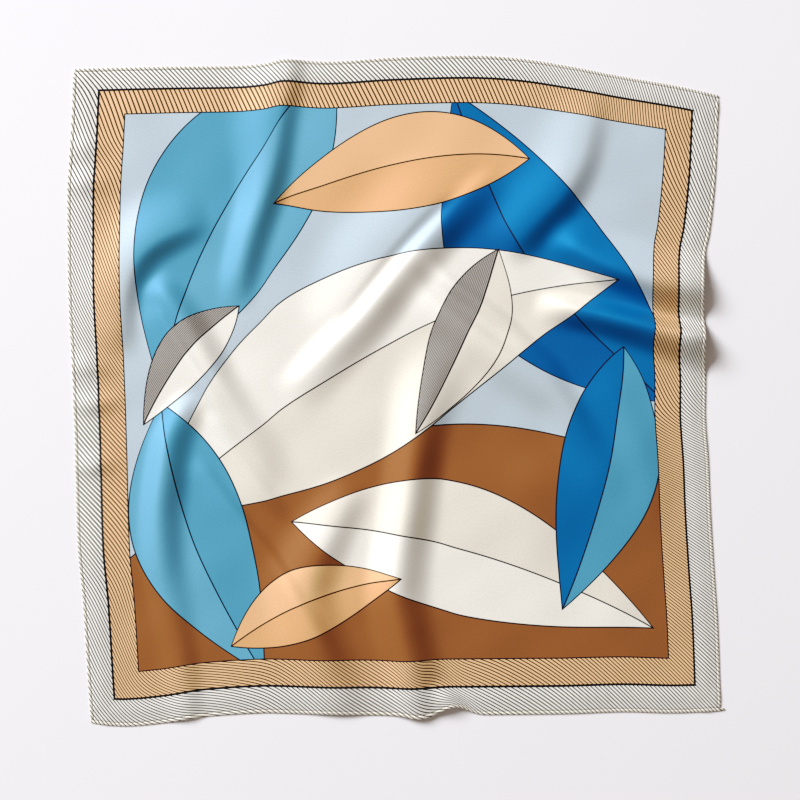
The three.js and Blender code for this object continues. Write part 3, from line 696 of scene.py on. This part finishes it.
@dataclass(frozen=True)
class ScreenPrint:
    """Flat dyes pushed through a screen, one beside the other, which gives the eye crisp areas of
    even colour with thin dark outlines, inside two bands of hatch that wander by hand."""

    border: BorderPrint
    ink_line: float = 1.3
    fine_hatch_pitch: float = 1.7
    edge_softness: float = 0.05
    ink_softness: float = 0.3

    def rectangle(self, tree: Tree, ways: bpy.types.Node, low: tuple[float, float],
                  high: tuple[float, float]) -> Socket:
        """Measures how far outside a rectangle of the flat square each place is.

        Args:
            tree: The material's tree.
            ways: The node with the place across and up.
            low: The rectangle's lower left corner.
            high: Its upper right corner.

        Returns:
            The distance, negative within it.
        """
        past = []
        for way, start, end in zip(ways.outputs, low, high):
            off = add_node(tree, "Math", {0: way, 1: (start + end) / 2}, operation="SUBTRACT")
            size = add_node(tree, "Math", {0: off}, operation="ABSOLUTE")
            over = add_node(tree, "Math", {0: size, 1: (end - start) / 2}, operation="SUBTRACT")
            past.append(over)
        return add_node(tree, "Math", {0: past[0], 1: past[1]}, operation="MAXIMUM").outputs[0]

    def band(self, tree: Tree, lines: Socket, ink: HatchInk) -> Socket:
        """Prints a band of hatch.

        Args:
            tree: The material's tree.
            lines: The count of hatch lines.
            ink: The hatch's colours and share.

        Returns:
            The band's colour.
        """
        part = add_node(tree, "Math", {0: lines}, operation="FRACT")
        off = add_node(tree, "Math", {0: part, 1: 0.5}, operation="SUBTRACT")
        size = add_node(tree, "Math", {0: off}, operation="ABSOLUTE")
        half, soft = ink.share / 2, self.edge_softness
        mask = add_node(tree, "MapRange", {0: size, 1: half - soft, 2: half + soft, 3: 1, 4: 0},
            interpolation_type="SMOOTHSTEP")
        return add_node(tree, "Mix", {
            0: mask, 6: linear(ink.ground), 7: linear(ink.line)}, data_type="RGBA").outputs[2]

    def leaf(self, tree: Tree, spot: Socket, leaf: Leaf, below: Socket) -> Socket:
        """Prints one leaf over what is below it.

        Args:
            tree: The material's tree.
            spot: The place on the flat square, in millimetres.
            leaf: The leaf.
            below: The colour so far.

        Returns:
            The colour with the leaf on it.
        """
        half_width = leaf.width / 2
        local = add_node(tree, "Mapping", {
            0: spot, 1: (leaf.x, leaf.y, 0), 2: (0, 0, math.radians(leaf.turn)),
            3: (leaf.length / 2, half_width, 1)}, vector_type="TEXTURE")
        along, across, _ = add_node(tree, "SeparateXYZ", {0: local}).outputs
        square = add_node(tree, "Math", {0: along, 1: along}, operation="MULTIPLY")
        belly = add_node(tree, "Math", {0: 1.0, 1: square}, operation="SUBTRACT")
        lean = add_node(tree, "Math", {0: along, 1: leaf.taper, 2: 1.0}, operation="MULTIPLY_ADD")
        reach = add_node(tree, "Math", {0: belly, 1: lean}, operation="MULTIPLY")
        rib = add_node(tree, "Math", {0: belly, 1: -leaf.bow, 2: across}, operation="MULTIPLY_ADD")
        off = add_node(tree, "Math", {0: rib}, operation="ABSOLUTE")
        within = add_node(tree, "Math", {0: reach, 1: off}, operation="SUBTRACT")
        inside = add_node(tree, "Math", {0: within, 1: 0.0}, operation="GREATER_THAN")
        upper = add_node(tree, "Math", {0: rib, 1: 0.0}, operation="GREATER_THAN")
        first = linear(leaf.upper.value)
        if leaf.hatched:
            lines = add_node(tree, "Math", {
                0: rib, 1: half_width / self.fine_hatch_pitch}, operation="MULTIPLY")
            first = self.band(tree, lines.outputs[0], FINE_INK)
        halves = add_node(tree, "Mix", {0: upper, 6: linear(leaf.lower.value), 7: first}, data_type="RGBA")
        filled = add_node(tree, "Mix", {0: inside, 6: below, 7: halves.outputs[2]}, data_type="RGBA")
        edge = add_node(tree, "Math", {0: within}, operation="ABSOLUTE")
        ribbed = add_node(tree, "Mix", {0: inside, 2: 1.0, 3: off})
        thin = add_node(tree, "Math", {0: edge, 1: ribbed}, operation="MINIMUM")
        half_line = self.ink_line / 2 / half_width
        ink = add_node(tree, "MapRange", {0: thin, 1: half_line * (1 - self.ink_softness),
            2: half_line * (1 + self.ink_softness), 3: 1, 4: 0})
        return add_node(tree, "Mix", {0: ink, 6: filled.outputs[2], 7: linear(Dye.INK.value)},
            data_type="RGBA").outputs[2]

    def picture(self, tree: Tree, spot: Socket, lines: Socket) -> Socket:
        """Prints the leaves and the two bands round them.

        Args:
            tree: The material's tree.
            spot: The place on the flat square, in millimetres.
            lines: The count of hatch lines.

        Returns:
            The print's colour.
        """
        ways = add_node(tree, "SeparateXYZ", {0: spot})
        b = self.border
        low = (-HALF + b.outer_left, -HALF + b.outer_bottom)
        high = (HALF - b.outer_right, HALF - b.outer_top)
        past_black = self.rectangle(tree, ways, low, high)
        low_in = (low[0] + b.inner_side, low[1] + b.inner_side)
        high_in = (high[0] - b.inner_side, high[1] - b.inner_top)
        past_inner = self.rectangle(tree, ways, low_in, high_in)
        colour = add_node(tree, "RGB", {}).outputs[0]
        colour.default_value = linear(Dye.SKY.value)
        for leaf in LEAVES:
            colour = self.leaf(tree, spot, leaf, colour)
        for past, ink, width in (
            (past_inner, INNER_INK, b.inner_line), (past_black, OUTER_INK, b.black_line)
        ):
            band = self.band(tree, lines, ink)
            beyond = add_node(tree, "Math", {0: past, 1: 0.0}, operation="GREATER_THAN")
            mixed = add_node(tree, "Mix", {0: beyond, 6: colour, 7: band}, data_type="RGBA")
            off = add_node(tree, "Math", {0: past}, operation="ABSOLUTE")
            line = add_node(tree, "Math", {0: off, 1: width / 2}, operation="LESS_THAN")
            colour = add_node(tree, "Mix", {0: line, 6: mixed.outputs[2], 7: linear(Dye.INK.value)},
                data_type="RGBA").outputs[2]
        return colour

    def make(self, silk: SilkTwill, hem: bool = False) -> Material:
        """Prints silk with the leaves and both bands, or a hem's with the outer band's lines alone,
        which show there as soft brown ticks.

        Args:
            silk: The cloth that is printed.
            hem: Whether it is a hem's.

        Returns:
            The material.
        """
        material, tree, spot, lines = silk.start()
        colour = self.band(tree, lines, HEM_INK) if hem else self.picture(tree, spot, lines)
        silk.finish(tree, spot, colour)
        return material


@dataclass(frozen=True)
class CloudedFinish:
    """A finish of two near tones in soft clouds, which keeps a plain thing from looking flat."""

    name: str
    light: str
    dark: str
    clouds_to_metre: float
    detail: float
    roughness: float
    sheen: float = 0.0

    def make(self) -> Material:
        """Makes the material.

        Returns:
            The material.
        """
        material, tree = new_material(self.name)
        place = add_node(tree, "TexCoord", {})
        cloud = add_node(tree, "TexNoise", {
            "Vector": place.outputs["Object"], "Scale": self.clouds_to_metre, "Detail": self.detail})
        tone = add_node(tree, "Mix", {
            0: cloud, 6: linear(self.light), 7: linear(self.dark)}, data_type="RGBA")
        shader = add_node(tree, "BsdfPrincipled", {
            "Base Color": tone.outputs[2], "Roughness": self.roughness, "Sheen Weight": self.sheen})
        add_node(tree, "OutputMaterial", {0: shader})
        return material


# A soft line of uneven ivory to the eye.
SILK_THREAD = CloudedFinish("spun silk thread, cloudy", "#e6dfd0", "#b9ad98", 1 / (3.0 * MM), 2.0, 0.5, 0.2)
# A plain pale surface to the eye, not quite even.
PAINTED_BOARD = CloudedFinish("matt painted board", "#f3f1f4", "#f7f4f6", 3.0, 3.0, 0.9)


def deselect_all() -> None:
    """Leaves nothing selected, so that an operator acts on a new piece alone."""
    bpy.ops.object.select_all(action="DESELECT")


def add_grid(name: str, across: int, up: int) -> Piece:
    """Adds a flat grid two units wide.

    Args:
        name: The piece's name.
        across: How many cells it has across.
        up: How many it has up.

    Returns:
        The piece.
    """
    deselect_all()
    bpy.ops.mesh.primitive_grid_add(x_subdivisions=across, y_subdivisions=up, size=2, calc_uvs=True)
    piece = bpy.context.object
    piece.name = name
    piece.data.name = name
    return piece


def read_points(piece: Piece) -> Rows:
    """The piece's vertices as rows of x, y, z."""
    return np.array([vertex.co for vertex in piece.data.vertices], float)


def write_points(piece: Piece, points: Rows) -> None:
    """Moves the piece's vertices to rows of x, y, z."""
    piece.data.vertices.foreach_set("co", np.ascontiguousarray(points, float).ravel())
    piece.data.update()


def write_maps(piece: Piece, border: BorderPrint, u: Rows, v: Rows) -> None:
    """Gives a piece its UV maps, one of the place on the cut and one of the count of hatch lines.

    Args:
        piece: The piece.
        border: The border that counts the lines.
        u: For each vertex, the distance across the flat square.
        v: The distance up it.
    """
    index = np.empty(len(piece.data.loops), dtype=np.int32)
    piece.data.loops.foreach_get("vertex_index", index)
    counts = np.column_stack([border.phase(u, v), np.zeros_like(u)])
    for name, values in (("cut", np.column_stack([u, v]) / SIDE + 0.5), ("hatch", counts)):
        layer = piece.data.uv_layers.get(name) or piece.data.uv_layers.new(name=name)
        layer.data.foreach_set("uv", values[index].astype(np.float32).ravel())


def finish_piece(piece: Piece, slot: str = "", *nodes: str) -> None:
    """Ties a piece to the frame.

    Args:
        piece: The piece.
        slot: The record's slot for its material, or nothing. It is not used.
        nodes: The solids that it stands for, if any.
    """
    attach(piece, "root")
    if nodes:
        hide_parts(*nodes)
    LOG.info("%s: %d faces", piece.name, len(piece.data.polygons))


@dataclass
class SilkPanel:
    """The printed panel: a thin shell on its solid's form."""

    drape: Drape
    border: BorderPrint
    cells: int = 220
    tuck_under: float = 1.2
    thickness: float = 0.4
    clearance: float = 0.1
    reverse_fade: float = 0.22
    check_step: int = 37

    def build(self) -> Piece:
        """Adds a grid and drapes it.

        Returns:
            The face of the panel, without its thickness yet.
        """
        piece = add_grid("silk_cloth", self.cells, self.cells)
        piece.data.uv_layers[0].name = "cut"
        u, v = (read_points(piece)[:, :2] * (PANEL_HALF + self.tuck_under)).T
        write_maps(piece, self.border, u, v)
        write_points(piece, self.drape.cloth(u, v, self.clearance + self.thickness))
        bpy.ops.object.shade_smooth()
        return piece

    def dress(self, piece: Piece) -> None:
        """Prints both sides, the reverse paler, and closes the shell.

        Args:
            piece: The face of the panel.
        """
        dyes = ScreenPrint(self.border)
        reverse = SilkTwill("silk twill, reverse of the print", fade=self.reverse_fade)
        for silk in (SilkTwill("silk twill, screen printed"), reverse):
            piece.data.materials.append(dyes.make(silk))
        shell = piece.modifiers.new("thickness", "SOLIDIFY")
        shell.thickness = self.thickness * MM
        shell.offset = -1
        shell.material_offset = 1
        bpy.context.view_layer.objects.active = piece
        bpy.ops.object.modifier_apply(modifier=shell.name)
        finish_piece(piece, "printed_silk", "silk_panel")

    def stray(self, piece: Piece) -> tuple[float, float]:
        """Measures how far the shell lies from its solid.

        Args:
            piece: The shell.

        Returns:
            The distance at most and on average, in millimetres.
        """
        solid = bpy.data.objects["silk_panel"].data
        corners = [vertex.co for vertex in solid.vertices]
        faces = BVHTree.FromPolygons(corners, [tuple(face.vertices) for face in solid.polygons])
        off = [faces.find_nearest(point)[3] / MM for point in read_points(piece)[:: self.check_step]]
        return max(off), sum(off) / len(off)


@dataclass
class RolledHems:
    """The four hems, each a narrow hand-rolled edge beside the panel."""

    drape: Drape
    border: BorderPrint
    height: float = 1.0
    stations: int = 300
    round_steps: int = 12
    plump: float = 0.05
    plump_period: float = 23.0
    plump_drift: float = 31.0
    end_round: float = 1.5
    end_least: float = 0.35
    tip_length: float = 4.0
    clearance: float = 0.1

    def build(self, side: Side) -> Piece:
        """Rolls a grid into a tube along one side of the square.

        Args:
            side: The side.

        Returns:
            The hem, closed at its seam and ends.
        """
        piece = add_grid(f"hem_roll_{side.name.lower()}", self.stations, self.round_steps)
        flat = read_points(piece)
        full = HALF if side in (Side.TOP, Side.BOTTOM) else PANEL_HALF
        along = flat[:, 0] * full
        if side is Side.BOTTOM:
            along[np.isclose(flat[:, 0], 1)] = HALF + self.tip_length
        turn = flat[:, 1] * math.pi
        ends = np.sqrt(np.clip((1 - np.abs(flat[:, 0])) * full / self.end_round, self.end_least, 1))
        drift = 2 * np.sin(along / self.plump_drift)
        swell = 1 + self.plump * np.sin(along * 2 * math.pi / self.plump_period + drift)
        outward = HALF - HEM_WIDTH / 2 + np.cos(turn) * HEM_WIDTH / 2 * ends
        above = self.clearance + self.height / 2 * (1 + np.sin(turn) * swell * ends)
        u, v = side.place(along, outward)
        write_maps(piece, self.border, u, v)
        write_points(piece, self.drape.cloth(u, v, above))
        bpy.ops.object.mode_set(mode="EDIT")
        bpy.ops.mesh.select_all(action="SELECT")
        bpy.ops.mesh.remove_doubles(threshold=1e-6)
        bpy.ops.mesh.select_all(action="DESELECT")
        bpy.ops.mesh.select_mode(type="EDGE")
        bpy.ops.mesh.select_non_manifold()
        bpy.ops.mesh.edge_face_add()
        bpy.ops.mesh.select_all(action="SELECT")
        bpy.ops.mesh.normals_make_consistent(inside=False)
        bpy.ops.object.mode_set(mode="OBJECT")
        bpy.ops.object.shade_smooth()
        return piece

    def dress(self, piece: Piece, side: Side, silk: Material) -> None:
        """Gives a hem its silk and ties it to the frame."""
        piece.data.materials.append(silk)
        finish_piece(piece, "hem_silk", f"hem_{side.name.lower()}")


@dataclass
class HemStitches:
    """The slip stitches that hold each rolled hem: one spindle of thread, copied along the seam."""

    drape: Drape
    pitch: float = 9.0
    length: float = 2.6
    thread: float = 0.35
    lean: float = 0.6
    foot: float = 0.54
    climb: float = 0.4
    climb_start: float = 0.6
    corner: float = 6.0
    round_steps: int = 6

    def build(self, side: Side) -> Piece:
        """Models one spindle, copies it along the side and lays the copies across the seam.

        Args:
            side: The side of the square.

        Returns:
            The run of stitches.
        """
        count = int((SIDE - 2 * self.corner) // self.pitch)
        deselect_all()
        bpy.ops.mesh.primitive_uv_sphere_add(
            segments=self.round_steps, ring_count=self.round_steps, radius=self.length / 2 * MM)
        piece = bpy.context.object
        piece.name = piece.data.name = f"hem_stitches_{side.name.lower()}"
        bpy.ops.object.shade_smooth()
        run = piece.modifiers.new("run", "ARRAY")
        run.count = count
        run.use_relative_offset = False
        run.use_constant_offset = True
        run.constant_offset_displace = (self.pitch * MM, 0, 0)
        bpy.ops.object.modifier_apply(modifier=run.name)
        x, y, z = (read_points(piece) / MM).T
        number = np.round(x / self.pitch)
        slim = self.thread / self.length
        middle = (number - (count - 1) / 2) * self.pitch
        along = middle + (x - number * self.pitch) * slim + z * self.lean
        inward = HEM_WIDTH + SEAM_GAP + z
        onto_hem = np.clip(HEM_WIDTH + self.climb_start - inward, 0, None)
        above = self.foot + self.climb * onto_hem + y * slim
        u, v = side.place(along, HALF - inward)
        write_points(piece, self.drape.cloth(u, v, above))
        return piece

    def dress(self, piece: Piece, thread: Material) -> None:
        """Gives a run of stitches its thread and ties it to the frame."""
        piece.data.materials.append(thread)
        finish_piece(piece)


@dataclass
class Studio:
    """The pale surface, the soft light and the camera straight above."""

    floor_size: float = 6.0
    floor_drop: float = 0.0002
    view_width: float = 0.784
    camera_height: float = 2.6
    camera_x: float = 0.0039
    camera_y: float = -0.0088
    sensor_width: float = 36.0
    light_turn: float = 138.0
    light_rise: float = 34.0
    light_distance: float = 9.0
    light_size: float = 4.6
    light_power: float = 1270.0
    light_colour: tuple[float, float, float] = (0.91, 0.945, 1.0)
    fill: float = 0.25
    fill_colour: str = "#ffeedd"
    # How bright a spot is shown for how bright it is, as a camera does it: deep shade goes deeper.
    tone: Table = (
        (0.0, 0.0), (0.03, 0.015), (0.058, 0.0355), (0.085, 0.0675), (0.13, 0.13), (0.29, 0.338),
        (0.41, 0.455), (0.6, 0.62), (0.8, 0.805), (1.0, 0.975))

    def build(self) -> None:
        """Makes the surface, the lights and the camera."""
        self.make_floor()
        self.make_light()
        self.make_camera()
        self.set_tone()

    def make_floor(self) -> None:
        """Lays the pale surface just under the scarf."""
        deselect_all()
        bpy.ops.mesh.primitive_plane_add(size=self.floor_size, location=(0, 0, -self.floor_drop))
        floor = bpy.context.object
        floor.name = "pale_surface"
        bpy.ops.object.transform_apply()
        floor.data.materials.append(PAINTED_BOARD.make())

    def make_light(self) -> None:
        """Hangs one large soft light to the left, and fills the shade from all round."""
        turn, rise = math.radians(self.light_turn), math.radians(self.light_rise)
        level = math.cos(rise)
        way = np.array([math.cos(turn) * level, math.sin(turn) * level, math.sin(rise)])
        deselect_all()
        bpy.ops.object.light_add(type="AREA", location=tuple(way * self.light_distance),
                                 rotation=(0, math.pi / 2 - rise, turn))
        lamp = bpy.context.object
        lamp.name = "window_light"
        lamp.data.energy = self.light_power
        lamp.data.size = self.light_size
        lamp.data.color = self.light_colour
        world = bpy.data.worlds.new("room")
        bpy.context.scene.world = world
        world.use_nodes = True
        shade = world.node_tree.nodes["Background"]
        shade.inputs[0].default_value = linear(self.fill_colour)
        shade.inputs[1].default_value = self.fill

    def make_camera(self) -> None:
        """Puts the camera straight above, with the photo's frame."""
        deselect_all()
        place = (self.camera_x, self.camera_y, self.camera_height)
        bpy.ops.object.camera_add(location=place, rotation=(0, 0, 0))
        camera = bpy.context.object
        camera.data.sensor_width = self.sensor_width
        camera.data.lens = self.sensor_width * self.camera_height / self.view_width
        bpy.context.scene.camera = camera

    def set_tone(self) -> None:
        """Shows brightness along the tone curve."""
        view = bpy.context.scene.view_settings
        view.view_transform = "Standard"
        view.use_curve_mapping = True
        curve = view.curve_mapping.curves[3]
        for given, shown in self.tone[1:-1]:
            curve.points.new(given, shown)
        curve.points[-1].location = self.tone[-1]
        for point in curve.points:
            point.handle_type = "VECTOR"
        view.curve_mapping.update()


def main() -> None:
    """Builds and dresses the scarf, then the studio."""
    logging.basicConfig(level=logging.INFO, format="%(name)s: %(message)s")
    drape = Drape()
    drape.seat("silk_panel")
    border = BorderPrint()
    panel_maker = SilkPanel(drape, border)
    panel = panel_maker.build()
    panel_maker.dress(panel)
    hem_maker = RolledHems(drape, border)
    hem_silk = ScreenPrint(border).make(SilkTwill("silk twill, rolled hem"), hem=True)
    stitch_maker = HemStitches(drape)
    thread = SILK_THREAD.make()
    on_panel = []
    for side in Side:
        hem = hem_maker.build(side)
        hem_maker.dress(hem, side, hem_silk)
        stitches = stitch_maker.build(side)
        stitch_maker.dress(stitches, thread)
        on_panel += [hem, stitches]
    stray = panel_maker.stray(panel)
    LOG.info("the cloth lies up to %.1f mm from its solid, and %.1f mm on average", *stray)
    Studio().build()


if __name__ == "__main__":
    main()
